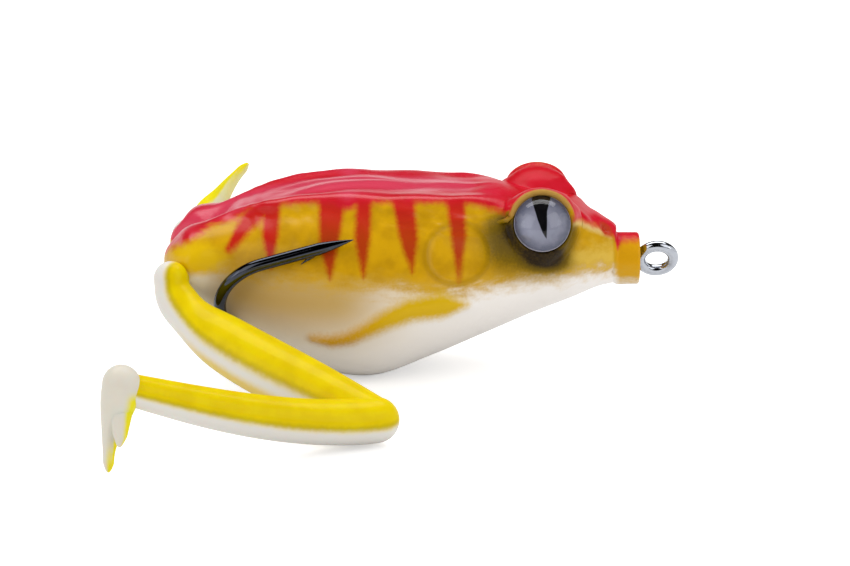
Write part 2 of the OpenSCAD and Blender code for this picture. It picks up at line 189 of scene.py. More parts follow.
def addNode(tree, kind, inputs=None, **settings):
    node = tree.nodes.new(kind)
    for key, value in settings.items():
        setattr(node, key, value)
    for key, value in (inputs or {}).items():
        if isinstance(value, bpy.types.NodeSocket):
            tree.links.new(value, node.inputs[key])
        else:
            node.inputs[key].default_value = value
    return node


def field(tree, name):
    return addNode(tree, "ShaderNodeAttribute", attribute_name=name).outputs["Fac"]


def noise(tree, size, detail=3.0, stretch=1.0):
    # Cloudy pattern whose blotches are about size millimetres across, and stretch times that along the body
    place = addNode(tree, "ShaderNodeTexCoord").outputs["Object"]
    if stretch != 1.0:
        place = addNode(tree, "ShaderNodeVectorMath", {0: place, 1: (1 / stretch, 1, 1)},
                        operation="MULTIPLY").outputs[0]
    settings = {"Vector": place, "Scale": 1 / (size * mm), "Detail": detail}
    return addNode(tree, "ShaderNodeTexNoise", settings).outputs["Fac"]


def math(tree, operation, a, b=0.0):
    return addNode(tree, "ShaderNodeMath", {0: a, 1: b}, operation=operation).outputs[0]


def shaken(tree, value, size, amount, stretch=1.0):
    # A field with its edge roughened by noise of that size and amount, in the field's own units
    waves = math(tree, "SUBTRACT", noise(tree, size, 3.0, stretch), 0.5)
    return math(tree, "ADD", value, math(tree, "MULTIPLY", waves, 2 * amount))


def mask(tree, value, low, high):
    return addNode(tree, "ShaderNodeMapRange", {"Value": value, "From Min": low, "From Max": high},
                   interpolation_type="SMOOTHSTEP").outputs["Result"]


def blendColour(tree, share, a, b):
    node = addNode(tree, "ShaderNodeMix", data_type="RGBA")
    for socket, value in ((node.inputs[0], share), (node.inputs[6], a), (node.inputs[7], b)):
        if isinstance(value, bpy.types.NodeSocket):
            tree.links.new(value, socket)
        else:
            socket.default_value = colour(value) if isinstance(value, str) else value
    return node.outputs[2]


def bump(tree, shader, height, depth):
    # Relief of that depth in millimetres
    node = addNode(tree, "ShaderNodeBump", {"Height": height, "Distance": depth * mm, "Strength": 1.0})
    tree.links.new(node.outputs[0], shader.inputs["Normal"])


print("tools ready")

# Frog body: oval sections along the body, with ridges, hip lobes and eye domes
skin = {
    "tail": -25.0, "length": 54.8, "halfWidth": 13.0, "height": 23.4, "rumpRound": 8.0,
    "upper": 2.4, "lower": 2.1, "level": 13.806,
    # place from rump to collar, half width, belly, back and widest level, all in percent
    "outline": np.array([
        [0, 67, 37, 76, 62], [9, 70, 30, 83, 62], [16.5, 74, 20, 88, 61], [25.5, 89, 9, 94, 57],
        [36.5, 99, 1, 99, 52], [47.5, 100, -1, 100, 50], [60, 95, 10, 99, 52], [71, 84, 21, 98, 56],
        [82, 69, 32, 94, 60], [91, 53, 40, 90, 60], [96.5, 38, 45, 85, 60], [100, 26, 46.5, 75, 59]], float),
    # back ridge: height, angle and its spread, then the percents where it rises and falls
    "ridge": (1.1, 58, 8), "ridgeRun": (8, 26, 66, 80),
    # hip lobe: height, place and its spread in percent, angle and its spread
    "lobe": (1.5, 7, 6, 14, 30), "rumpDent": 1.2,
    "dome": np.array([20.758, 5.72, 18.954]), "domeRadius": 4.7, "blend": 1.6,
    "eyeAxis": np.array([0.0319, 0.9130, 0.4067]), "eyeUp": np.array([-0.0142, -0.4065, 0.9135]),
    "eyeAhead": np.array([0.9994, -0.0349, 0.0]),
    # eye socket: floor along the eye's axis, then the radii where its wall begins and ends
    "socket": (2.0, 3.2, 3.5), "lidRadius": 3.78, "lidTube": 0.4,
    "collarX": 29.8, "noseX": 33.0, "collarRadius": 3.2, "collarEdge": 0.35,
    "mouthRadius": 2.1, "mouthDepth": 0.7, "boreRadius": 0.6, "columns": 300,
}


def share(column, p):
    # Cubic through the outline's stations, each with the slope between its neighbours
    o = skin["outline"]
    last = len(o) - 1
    before, after = np.clip(np.arange(last + 1) - 1, 0, last), np.clip(np.arange(last + 1) + 1, 0, last)
    slope = (o[after, column] - o[before, column]) / (o[after, 0] - o[before, 0])
    i = np.clip(np.searchsorted(o[:, 0], p, side="left") - 1, 0, last - 1)
    h = o[i + 1, 0] - o[i, 0]
    u = (p - o[i, 0]) / h
    v = 1 - u
    return (v * v * (1 + 2 * u) * o[i, column] + u * u * (3 - 2 * u) * o[i + 1, column]
            + u * v * h * (v * slope[i] - u * slope[i + 1])) / 100


def skinRings(p):
    # Radius of the oval at each angle, plus ridges and hip lobes, joined with the eye dome's radius
    a = ((np.arange(skin["columns"]) + 0.5) * 2 * np.pi / skin["columns"])[None]
    p = p[:, None]
    e = np.sqrt(1 - np.clip(1 - p / skin["rumpRound"], 0, 1) ** 2)
    level = share(4, p) * skin["height"]
    wide = e * share(1, p) * skin["halfWidth"]
    belly, back = mix(level, share(2, p) * skin["height"], e), mix(level, share(3, p) * skin["height"], e)
    c, s = np.abs(np.cos(a)), np.abs(np.sin(a))
    top = ((c / wide) ** skin["upper"] + (s / (back - level)) ** skin["upper"]) ** (-1 / skin["upper"])
    under = ((c / wide) ** skin["lower"] + (s / (level - belly)) ** skin["lower"]) ** (-1 / skin["lower"])
    r = np.where(a < np.pi, top, under)
    q = np.degrees(np.where(a < np.pi, np.minimum(a, np.pi - a), -np.minimum(a - np.pi, 2 * np.pi - a)))
    high, angle, spread = skin["ridge"]
    rise, crest, fall, foot = skin["ridgeRun"]
    r = r + high * bell(q - angle, spread) * ramp(rise, crest, p) * (1 - ramp(fall, foot, p))
    high, at, reach, angle, spread = skin["lobe"]
    r = r + high * e * bell(p - at, reach) * bell(q - angle, spread)
    x = skin["tail"] + skin["length"] * p / 100
    up = skin["dome"][2] - level
    b = skin["dome"][1] * c + up * np.sin(a)
    d = b * b - skin["dome"][1] ** 2 - up ** 2 + skin["domeRadius"] ** 2 - (x - skin["dome"][0]) ** 2
    dome = np.where(d > 0, b + np.sqrt(np.maximum(d, 0)), 0)
    joined = np.maximum(r, dome) + np.maximum(0, skin["blend"] - np.abs(r - dome)) ** 2 / (4 * skin["blend"])
    r = mix(r, joined, ramp(0, 8, d))    # the dome's front edge runs out without a step
    y = r * np.cos(a)
    x = x + skin["rumpDent"] * bell(y, 2.5) * (1 - ramp(0, 10, p))
    return np.stack([x, y, level + r * np.sin(a)], -1)


def eyePlace(points):
    # Place in the nearer eye's own frame: ahead, up and out along its axis
    q = np.stack([points[..., 0], np.abs(points[..., 1]), points[..., 2]], -1) - skin["dome"]
    return q @ skin["eyeAhead"], q @ skin["eyeUp"], q @ skin["eyeAxis"]


def outward(rings):
    # Unit normals of a grid that closes round its columns
    ahead = np.gradient(rings, axis=0)
    wrapped = np.concatenate([rings[:, -1:], rings, rings[:, :1]], 1)
    return unit(np.cross((wrapped[:, 2:] - wrapped[:, :-2]) / 2, ahead) + 1e-9)


relief = {
    # lines in the side view
    "arm": [(-6.4, 7.0), (-4.2, 6.7), (-1.9, 7.2), (-0.1, 8.2), (2.3, 9.6), (5.2, 10.8), (8.8, 11.2),
            (12, 11.2)],
    "jaw": [(33, 13.2), (29.3, 12.8), (25.5, 13.2), (21.3, 13.2), (18.5, 13.7), (14.7, 13.0), (9.9, 12.8)],
    "brow": [(24.4, 21.0), (26.8, 19.5), (28.8, 18.4)],
    "fold": [(16.8, 21.6), (15.4, 20.8), (13.6, 20.5), (11.2, 20.7), (8, 21.2), (2, 22.0)],
    # half width of the arm along the body
    "armHalf": [(-7, 0.3), (-4, 0.75), (0, 0.85), (4, 1.3), (9, 1.55), (12.2, 1.0)],
    # ear: middle and half sizes of its oval; nostril: its place
    "ear": (10.85, 17.1, 3.8, 3.4), "nostril": (28.8, 2.6, 18.2),
    "height": {"arm": 0.5, "jaw": -0.3, "ear": 0.14, "brow": 0.3, "fold": 0.22, "valley": -2.0,
               "nostril": -0.45, "domeBack": 0.28, "domeFront": 0.7},
}


def earRing(x, z):
    # One on the ear's oval, less inside it
    ex, ez, ew, eh = relief["ear"]
    return np.hypot((x - ex) / ew, (z - ez) / eh)


def fromNostril(x, y, z):
    nx, ny, nz = relief["nostril"]
    return np.sqrt((x - nx) ** 2 + (y - ny) ** 2 + (z - nz) ** 2)


def carve(rings):
    # Moves each point along its normal by a sum of bells round the lines above, then presses in the eye sockets
    x, y, z = rings[..., 0], np.abs(rings[..., 1]), rings[..., 2]
    high = relief["height"]
    sideOn = ramp(3.0, 5.0, y)
    lift = high["arm"] * bell(offPath(relief["arm"], x, z) / along(relief["armHalf"], x), 1.0) * sideOn
    lift += high["jaw"] * bell(offPath(relief["jaw"], x, z), 0.45)
    ear = earRing(x, z)
    lift += sideOn * (high["ear"] * bell(ear - 1, 0.09) - 0.05 * ramp(1.0, 0.8, ear))
    lift += high["brow"] * bell(offPath(relief["brow"], x, z), 0.6) * sideOn
    lift += high["fold"] * bell(offPath(relief["fold"], x, z), 0.55) * sideOn
    under = z - along(relief["fold"][::-1], x)
    creases = 0.1 * bell(under + 0.9, 0.22) + 0.07 * bell(under + 1.7, 0.2)
    lift += creases * sideOn * ramp(1, 4, x) * ramp(15, 12, x)
    # Broad swellings and wrinkles on the back, and a lip where the snout meets the collar
    top = ramp(20, 22, z)
    lift += top * (0.35 * bell(x + 2, 4) * bell(y, 4) + 0.5 * bell(x - 15.3, 2.2) * bell(y, 5.5))
    wrinkles = 0.08 * np.sin(1.5 * y + 0.22 * x) + 0.07 * np.sin(0.8 * x + 0.5 * y)
    lift += top * ramp(-13, -8, x) * ramp(18, 12, x) * wrinkles
    lip = 0.55 * bell(x - 29.7, 0.8) * bell(y, 3) - 0.5 * bell(x - 27.3, 1.4) * bell(y, 4)
    lift += lip * ramp(15.5, 17, z)
    wave = np.sin(2.1 * x + 1.3 * np.sin(0.9 * x) + 1.7 * z)
    lift += 0.07 * wave * bell(z - 20.4, 1.8) * ramp(-16, -12, x) * ramp(13, 10, x)
    # Valley between the hip lobes and a dip on each
    lift += high["valley"] * bell(y, 2.4) * ramp(-15, -20, x) * ramp(12, 15, z)
    lift -= 0.35 * bell(x + 22.5, 2.2) * bell(z - 17.4, 0.9) * ramp(3, 5, y)
    lift += high["nostril"] * bell(fromNostril(x, y, z), 0.55)
    # The dome's back rises to the lid, and its front falls gently to the snout
    ahead, up, h = eyePlace(rings)
    turn = np.degrees(np.arctan2(np.hypot(ahead, up), h))
    onDome = ramp(5.6, 4.9, np.sqrt(ahead ** 2 + up ** 2 + h ** 2)) * ramp(0.3, 2.2, up) * ramp(4.2, 2.4, ahead)
    lift += high["domeBack"] * onDome * ramp(100, 58, turn) * ramp(46, 54, turn)
    lift += high["domeFront"] * bell(x - 25.2, 1.6) * bell(y - 4.4, 1.8) * ramp(17.5, 19.5, z)
    out = rings + lift[..., None] * outward(rings)
    ahead, up, h = eyePlace(out)
    away = np.hypot(ahead, up)
    floorAt, wallFrom, wallTo = skin["socket"]
    sunk = mix(floorAt, h, ramp(wallFrom, wallTo, away)) - h
    pressed = np.where((h > 0.5) & (away < wallTo), sunk, 0)
    axis = np.where(out[..., 1:2] > 0, skin["eyeAxis"], skin["eyeAxis"] * [1, -1, 1])
    out = out + pressed[..., None] * axis
    out[..., 2] = np.maximum(out[..., 2], 0)
    return out


paint = {
    # height of the red's lower edge and of the yellow's fade to white, along the body
    "backEdge": [(-26, 15.2), (-24, 16.3), (-21.4, 17.9), (-19.2, 19.0), (-16.6, 20.3), (-12.4, 21.7),
                 (-7.9, 22.4), (-4, 22.6), (-2.2, 21.9), (-0.5, 22.6), (4, 22.7), (10, 22.5), (12.3, 22.4),
                 (14.7, 21.7), (16.3, 21.3), (17.5, 20.6), (24, 20.4), (24.7, 20.6), (26.8, 19.1), (28.6, 18.1),
                 (29.8, 17.1), (30.2, 15.6), (30.7, 16.4), (33, 16.5)],
    "fade": [(-26, 14), (-19.6, 15.9), (-14.9, 15), (-7.7, 14.9), (-2.4, 14.1), (4.1, 14.1), (7.6, 13.1),
             (12.3, 13.5), (18.5, 14.2), (25.5, 14.5), (29.6, 14.2), (30.6, 12.4), (33, 12.2)],
    # each stripe: height, middle and half width, from the top down to its tip
    "stripes": [
        [(23, -11.2, 1.0), (19, -11.25, 0.9), (15.4, -11.2, 0.0)],
        [(23, -4.0, 1.5), (18, -4.3, 1.0), (14.5, -4.1, 0.0)],
        [(23, -0.2, 0.8), (18.9, -0.35, 0.85), (14.7, -0.2, 0.0)],
        [(23, 4.4, 1.25), (18.9, 5.1, 1.0), (15.2, 5.5, 0.0)],
        [(23, 10.6, 1.05), (19.2, 10.95, 0.85), (13.9, 11.0, 0.0)]],
    # slanting branch of the rear stripe and its half width
    "branch": [(-12.0, 22.0), (-14.5, 19.6), (-16.4, 17.2)],
    "branchHalf": [(-16.8, 0.1), (-15.4, 0.6), (-12, 0.95)],
    # path of the painted highlight along the brow ridge
    "browHighlightPath": [(25.0, 20.1), (27.0, 18.7), (29.6, 17.4)],
    # yellow oval over the hip: middle and half sizes
    "hip": (-20, 16.2, 4.2, 2.6),
}


def paintFields(rings):
    # How far each point lies inside the edge of a sprayed colour or of the painted highlight along the brow, in
    # millimetres; the eye's shade, the lid, the painted shade round the ear and the hip's oval are shares
    x, y, z = rings[..., 0], np.abs(rings[..., 1]), rings[..., 2]
    ahead, up, h = eyePlace(rings)
    away = np.hypot(ahead, up)
    offDome = ramp(4.6, 6.5, np.abs(x - skin["dome"][0]))
    back = np.minimum(z - along(paint["backEdge"], x), 3.25 - h + 12 * offDome)
    back = np.maximum(back, 0.6 * (5.5 - y) - 8 * ramp(16, 13, z) - 8 * ramp(12, 16, x))
    back = np.minimum(back, away - 4.7 + 6 * ramp(1.4, 3.2, up) + 6 * ramp(-2.0, 0.0, ahead))
    back = np.minimum(back, away - 3.9 + 20 * ramp(1.0, -1.0, h))
    stripes = along(paint["branchHalf"], x) - offPath(paint["branch"], x, z)
    for line in paint["stripes"]:
        heights, middles, halves = np.array(line[::-1]).T
        half = np.interp(z, heights, halves) - np.maximum(0, heights[0] - z)
        stripes = np.maximum(stripes, half - np.abs(x - np.interp(z, heights, middles)))
    shade = 0.55 * bell(away - 3.8, 0.9) * ramp(2.5, -1.0, up)
    shade += 0.6 * bell(ahead + 5.0, 2.4) * bell(up + 1.2, 3.2)
    shade += 0.75 * bell(ahead - 0.6, 2.6) * bell(up + 4.1, 1.1)
    shade += 0.3 * bell(ahead + 1.5, 5.0) * bell(up + 4.6, 2.2)
    hx, hz, hw, hh = paint["hip"]
    boss = 1 - np.hypot((x - hx) / hw, (z - hz) / hh)
    # Painted shade: a darker ring round the ear's rim
    ear = np.abs(earRing(x, z) - 1) + ramp(5, 3, y)
    # Painted highlight: a pale band along the brow ridge
    brow = 0.35 - offPath(paint["browHighlightPath"], x, z) - 3 * ramp(3, 2, y)
    arm = along(relief["armHalf"], x) - offPath(relief["arm"], x, z) - 3 * ramp(5, 3, y) - ramp(9, 13, x)
    return {"backSide": back, "stripeSide": stripes, "flankSide": z - along(paint["fade"], x), "armSide": arm,
            "eyeShade": np.minimum(1, shade) * ramp(2, 4, y), "earShadeSide": ear, "hipBoss": boss,
            "nostrilSpot": 1.2 - fromNostril(x, y, z), "browHighlightSide": brow, "lidSide": 0 * x}


def collarRings():
    # From the end of the loft to the straight collar, round its rim and into the mouth
    loft = skinRings(np.array([100.0]))[0]
    middle = np.array([0, 0, skin["level"]])
    flat = (loft - middle) * [0, 1, 1]
    reach = np.linalg.norm(flat, axis=1)
    way = flat / reach[:, None]
    x0, x1, r, edge = skin["collarX"], skin["noseX"], skin["collarRadius"], skin["collarEdge"]
    mouth, depth = skin["mouthRadius"], skin["mouthDepth"]
    turn = np.linspace(0, np.pi / 2, 7)[1:]
    xs = np.concatenate([np.linspace(x0 + 0.08, x0 + 0.6, 7), np.linspace(x0 + 0.8, x1 - edge, 12),
                         x1 - edge + edge * np.sin(turn), [x1, x1, x1 - 0.15, x1 - depth, x1 - depth]])
    rs = np.concatenate([np.full(19, r), r - edge + edge * np.cos(turn),
                         [2.5, mouth + 0.12, mouth, mouth, skin["boreRadius"]]])
    ease = ramp(x0, x0 + 0.6, xs)[:, None]
    radius = mix(reach[None], rs[:, None], ease)
    return np.stack([np.broadcast_to(xs[:, None], radius.shape), radius * way[None, :, 1],
                     skin["level"] + radius * way[None, :, 2]], -1)


# Rows in percent, closest together on the round rump and on the head
rumpRows = skin["rumpRound"] * (1 - np.cos(np.linspace(0.02, np.pi / 2, 34)))
rows = np.concatenate([rumpRows, np.linspace(8, 70, 96)[1:], np.linspace(70, 100, 112)[1:]])
skinGrid = np.concatenate([carve(skinRings(rows)), collarRings()])
skinShells = [(skinGrid, False, paintFields(skinGrid))]
# Raised lid: a thin round edge over the eye that sinks into the brow ahead and runs out along the fold behind
t = np.radians(np.linspace(-8, 166, 80))
lidAhead = np.concatenate([skin["lidRadius"] * np.cos(t), np.linspace(-4.2, -6.4, 16)])
lidUp = np.concatenate([skin["lidRadius"] * np.sin(t), np.linspace(0.5, 0.1, 16)])
ahead, up, h = eyePlace(skinGrid)
near = (skinGrid[..., 1] > 1) & (h > -1)
spots = np.stack([ahead[near], up[near]], -1)
nearest = ((np.stack([lidAhead, lidUp], -1)[:, None] - spots[None]) ** 2).sum(-1).argmin(1)
lidOut = np.convolve(np.pad(h[near][nearest], 5, mode="edge"), np.full(11, 1 / 11), mode="valid")
lidLine = (skin["dome"] + lidAhead[:, None] * skin["eyeAhead"] + lidUp[:, None] * skin["eyeUp"]
           + lidOut[:, None] * skin["eyeAxis"])
step = np.arange(len(lidLine))
fromEnd = np.minimum(step, step[::-1])
lidLine = lidLine - skin["eyeAxis"] * 0.5 * ramp(14, 0, fromEnd)[:, None]
lidWay = unit(np.gradient(lidLine, axis=0))
lidSide = unit(np.cross(lidWay, skin["eyeAxis"]))
lidThick = skin["lidTube"] * np.minimum(1, (fromEnd + 0.4) / 24) ** 0.6
hood = 1 + 1.1 * ramp(0, 30, fromEnd)[:, None]    # the lid stands out over the eye
lid = tube(lidLine, lidSide, hood * np.cross(lidSide, lidWay), lidThick, 20)
lidOuter = -np.cos(np.linspace(0, 2 * np.pi, 20, endpoint=False))
for mirror in (1, -1):
    lidFields = paintFields(lid * [1, mirror, 1])
    lidFields["lidSide"] = lidFields["lidSide"] + ramp(8, 24, fromEnd)[:, None]
    lidFields["eyeShade"] = lidFields["eyeShade"] * mix(0.8, 0.25, lidFields["lidSide"])
    lidFields["backSide"] = mix(lidFields["backSide"], 1.6 * (lidOuter - 0.75)[None], lidFields["lidSide"])
    skinShells.append((lid * [1, mirror, 1], False, lidFields))

# Airbrushed vinyl: satin and moulded, with soft sprayed edges, and a clear coat that looks wet on the trunk;
# painted highlights, sheen and shade are mixed into its colour
painted, tree, shader = newMaterial("airbrushed_soft_vinyl", {
    "Roughness": 0.34, "IOR": 1.5, "Specular IOR Level": 0.06, "Coat Roughness": 0.22})
place = addNode(tree, "ShaderNodeSeparateXYZ", {0: addNode(tree, "ShaderNodeTexCoord").outputs["Object"]})
placeX, placeZ = place.outputs["X"], place.outputs["Z"]
rear = math(tree, "MULTIPLY", mask(tree, placeX, 0.008, -0.004), mask(tree, placeX, -0.021, -0.015))
low = mask(tree, placeZ, 0.004, 0.012)
white = blendColour(tree, math(tree, "MULTIPLY", rear, low), "#F0EBE6", "#C2A368")
flank = shaken(tree, shaken(tree, field(tree, "flankSide"), 0.9, 1.5, 3.0), 0.3, 0.4)
yellow = blendColour(tree, mask(tree, noise(tree, 2.5), 0.3, 0.7), "#D09E00", "#BC8C00")
yellow = blendColour(tree, mask(tree, placeX, 0.0297, 0.0303), yellow, "#D49A08")
body = blendColour(tree, mask(tree, flank, -2.6, 0.4), white, "#C9A13C")
body = blendColour(tree, mask(tree, flank, -1.2, 1.6), body, yellow)
# Painted highlight: paler yellow in a band along the snout, below the red
snoutHighlight = math(tree, "MULTIPLY", mask(tree, placeX, 0.019, 0.026), mask(tree, placeX, 0.03, 0.0294))
snoutHighlight = math(tree, "MULTIPLY", snoutHighlight, mask(tree, flank, 3.4, 0.8))
snoutHighlight = math(tree, "MULTIPLY", snoutHighlight, mask(tree, flank, -0.8, 0.9))
body = blendColour(tree, math(tree, "MULTIPLY", snoutHighlight, 0.7), body, "#E0BE52")
# Painted shade: a darker olive ring round the ear's rim
ear = math(tree, "MULTIPLY", mask(tree, field(tree, "earShadeSide"), 0.16, 0.04), 0.32)
body = blendColour(tree, ear, body, "#8E6A04")
arm = shaken(tree, field(tree, "armSide"), 0.4, 0.3)
armYellow = blendColour(tree, mask(tree, placeX, -0.003, 0.004), "#C8950A", "#D4AC04")
body = blendColour(tree, mask(tree, arm, -0.9, 0.8), body, armYellow)
body = blendColour(tree, mask(tree, shaken(tree, field(tree, "hipBoss"), 0.8, 0.15), 0.0, 0.6), body, "#DDB400")
grain = math(tree, "ADD", math(tree, "MULTIPLY", noise(tree, 0.25), 0.5), 0.75)
shadow = math(tree, "MULTIPLY", field(tree, "eyeShade"), grain)
body = blendColour(tree, mask(tree, shadow, 0.0, 0.55), body, "#705806")
body = blendColour(tree, mask(tree, shadow, 0.4, 1.1), body, "#20150A")
# Painted highlight: pale yellow along the brow ridge
brow = shaken(tree, field(tree, "browHighlightSide"), 0.4, 0.15)
body = blendColour(tree, mask(tree, brow, -0.3, 0.4), body, "#DCC27A")
stripe = blendColour(tree, mask(tree, placeZ, 0.0185, 0.0225), "#B03804", "#C02016")
stripe = blendColour(tree, mask(tree, placeX, -0.008, -0.012), stripe, "#BE1A0C")
inStripe = shaken(tree, field(tree, "stripeSide"), 0.4, 0.22)
body = blendColour(tree, mask(tree, inStripe, -0.55, 0.4), body, stripe)
body = blendColour(tree, mask(tree, field(tree, "lidSide"), 0.2, 0.8), body, "#B58A40")
red = blendColour(tree, mask(tree, noise(tree, 3.0), 0.35, 0.65), "#C40C1C", "#CC162C")
trunk = mask(tree, placeX, 0.018, 0.01)
# Painted sheen: on the trunk the red turns pink away from its lower edge, standing in for a soft reflection of
# the top light
paintedSheen = math(tree, "MULTIPLY", mask(tree, field(tree, "backSide"), 0.3, 1.8), trunk)
red = blendColour(tree, paintedSheen, red, "#D23A54")
onBack = mask(tree, shaken(tree, field(tree, "backSide"), 0.7, 0.35), -0.6, 0.5)
body = blendColour(tree, onBack, body, red)
nostril = shaken(tree, field(tree, "nostrilSpot"), 0.3, 0.2)
body = blendColour(tree, mask(tree, nostril, -0.2, 0.6), body, "#B8361A")
tree.links.new(body, shader.inputs["Base Color"])
wet = math(tree, "ADD", math(tree, "MULTIPLY", onBack, 0.35), 0.14)
tree.links.new(math(tree, "ADD", math(tree, "MULTIPLY", wet, trunk), 0.08), shader.inputs["Coat Weight"])
bump(tree, shader, noise(tree, 1.2, 4.0), 0.05)
makePiece("frogSkin", skinShells, painted, "shell", ["body_shell"])
print("frog body built")

# Eyes: foil iris with a printed pupil under a domed clear lens
eye = {
    "radius": 3.3, "seat": 2.2, "foil": 0.4, "edge": 0.8, "crown": 1.7, "pole": 0.02,
    # foil turned up round the lens: how far outside its radius and above its face
    "cup": [(0.04, 0.68), (0.01, 0.7), (0.005, 0.02)],
    # pupil: height of its lower tip, and its two edges as height and place ahead
    "tip": -1.6, "pupilBack": [(-1.6, 0.42), (-0.8, 0.0), (0.4, -0.42), (1.6, -0.75), (3.2, -1.15)],
    "pupilFront": [(-1.6, 0.42), (0.0, 0.48), (1.2, 0.5), (3.2, 1.05)],
}

# Silver foil: mottled and darker toward its pale rim, with the pupil printed black
foil, tree, shader = newMaterial("printed_silver_foil", {"Roughness": 0.4, "Specular IOR Level": 0.1})
ahead, up = field(tree, "irisAhead"), field(tree, "irisUp")
squares = math(tree, "ADD", math(tree, "MULTIPLY", ahead, ahead), math(tree, "MULTIPLY", up, up))
away = math(tree, "SQRT", squares)
silver = blendColour(tree, mask(tree, shaken(tree, away, 0.6, 0.5), 1.2, 3.1), "#A2A4B8", "#666A80")
silver = blendColour(tree, mask(tree, away, 3.05, 3.2), silver, "#B9B6C4")
pupil = mask(tree, field(tree, "pupil"), -0.05, 0.05)
tree.links.new(blendColour(tree, pupil, silver, "#060509"), shader.inputs["Base Color"])
tree.links.new(math(tree, "SUBTRACT", 0.35, math(tree, "MULTIPLY", pupil, 0.35)), shader.inputs["Metallic"])

# Clear cast resin: bends the view of the iris and carries the sharp window highlight
resin, tree, shader = newMaterial("clear_cast_resin", {
    "Base Color": colour("#FFFFFF"), "Roughness": 0.0, "IOR": 1.45, "Transmission Weight": 1.0})

for side, mirror in (("left", 1), ("right", -1)):
    centre, axis = skin["dome"] * [1, mirror, 1], skin["eyeAxis"] * [1, mirror, 1]
    low, top, r, pole = eye["seat"], eye["seat"] + eye["foil"], eye["radius"], eye["pole"]
    cup = [(pole, low), (r + eye["cup"][0][0], low)] + [(r + out, top + high) for out, high in eye["cup"]]
    disc = turned(cup + [(k, top) for k in np.linspace(r, pole, 60)], centre, axis)
    ahead, up, _ = eyePlace(disc)
    # The pupil's wedge: distance inside the nearest of its two edges and its tip
    wedge = np.minimum(ahead - along(eye["pupilBack"], up), along(eye["pupilFront"], up) - ahead)
    wedge = np.minimum(wedge, up - eye["tip"])
    makePiece(f"{side}Iris", [(disc, False, {"irisAhead": ahead, "irisUp": up, "pupil": wedge})], foil, "shell",
              [f"{side}_eye_iris"])
    curve = (r * r + eye["crown"] ** 2) / (2 * eye["crown"])
    t = np.linspace(np.arcsin(r / curve) * 0.985, 0.004, 40)
    domeTop = [(curve * np.sin(k), top + eye["edge"] + eye["crown"] - curve + curve * np.cos(k)) for k in t]
    foot = [(pole, top - 0.02), (r - 0.08, top - 0.02), (r, top + 0.09), (r, top + eye["edge"] - 0.06)]
    lens = makePiece(f"{side}Lens", [(turned(foot + domeTop, centre, axis), False, {})], resin, "shell",
                     [f"{side}_eye_lens"])
    lens.visible_shadow = False    # light reaches the iris through it
print("eyes built")

# Line tie: bright wire with a ring ahead of the nose and an eye inside the body
tie = {"wire": 0.675, "ring": 1.995, "ringX": 35.1697, "rear": 2.575, "rearX": 23.7997, "roll": 29.0}

# Bright nickel-plated wire: mirror highlights with faint drawing marks
bright, tree, shader = newMaterial("bright_nickel_wire", {"Metallic": 1.0})
tree.links.new(blendColour(tree, noise(tree, 0.8), "#C4C8D0", "#AEB2BA"), shader.inputs["Base Color"])
tree.links.new(mask(tree, noise(tree, 0.5), -0.8, 6.0), shader.inputs["Roughness"])

roll = np.radians(tie["roll"])
tieAxis = np.array([0, np.cos(roll), np.sin(roll)])
tieLevel = np.array([0, 0, skin["level"]])
xs = np.linspace(tie["rearX"] + tie["rear"], tie["ringX"] - tie["ring"], 12)
shaft = tube(np.stack([xs, 0 * xs, 0 * xs + skin["level"]], -1), np.tile([0, 1.0, 0], (12, 1)),
             np.tile([0, 0, 1.0], (12, 1)), np.full(12, tie["wire"]), 28)
makePiece("lineTie", [
    (hoop(tieLevel + [tie["ringX"], 0, 0], tieAxis, tie["ring"], tie["wire"]), True, {}),
    (shaft, False, {}),
    (hoop(tieLevel + [tie["rearX"], 0, 0], tieAxis, tie["rear"], tie["wire"]), True, {})],
    bright, "tie", ["line_tie"])
print("line tie built")

# Double hook: two bent wires brazed along their fronts, each with a round bend, a ground point and a barb
hook = {
    "wire": 0.75, "apart": 0.70, "eye": 2.15, "eyeX": 21.70, "slope": 15.5, "front": 7.05, "spread": 18.0,
    "spreadRadius": 6.0, "run": 13.3, "straight": 6.39, "bend": 6.8, "tilt": 32.5, "point": 7.0, "taper": 4.2,
    # barb: its turn about the wire; from root to tip its height over the wire's middle, its way back from where
    # the point is ground and its half width; and its depth for each half width
    "barbTurn": 20, "barbHigh": (0.5, 1.32), "barbBack": (0.7, 2.6), "barbHalf": (0.28, 0.03), "barbDeep": 1.3,
}

# Black nickel: dark smoky mirror
dark, tree, shader = newMaterial("black_nickel_wire", {"Metallic": 1.0})
tree.links.new(blendColour(tree, noise(tree, 1.0), "#4C4F58", "#3C3F47"), shader.inputs["Base Color"])
tree.links.new(mask(tree, noise(tree, 0.7), -0.8, 6.0), shader.inputs["Roughness"])


def rolled(f, a):
    # Frame turned by an angle about its own way ahead
    return [f[0], f[1] * np.cos(a) + f[2] * np.sin(a), f[2] * np.cos(a) - f[1] * np.sin(a), f[3]]


def wirePath(f, steps):
    # Frames along straights and arcs, each of place, side, up and ahead, that never twist round the wire
    frames = [f]
    for length, radius, angle, way in steps:
        frames += [[f[0] + f[3] * s, f[1], f[2], f[3]] for s in np.linspace(0, length, 8)[1:]]
        f = frames[-1]
        g = rolled(f, np.radians(way))
        for a in np.radians(angle) * np.linspace(0, 1, max(2, int(angle / 4)))[1:] if angle else []:
            bent = [g[0] + g[1] * radius * (1 - np.cos(a)) + g[3] * radius * np.sin(a),
                    g[1] * np.cos(a) - g[3] * np.sin(a), g[2], g[3] * np.cos(a) + g[1] * np.sin(a)]
            frames.append(rolled(bent, -np.radians(way)))
        f = frames[-1]
    return frames


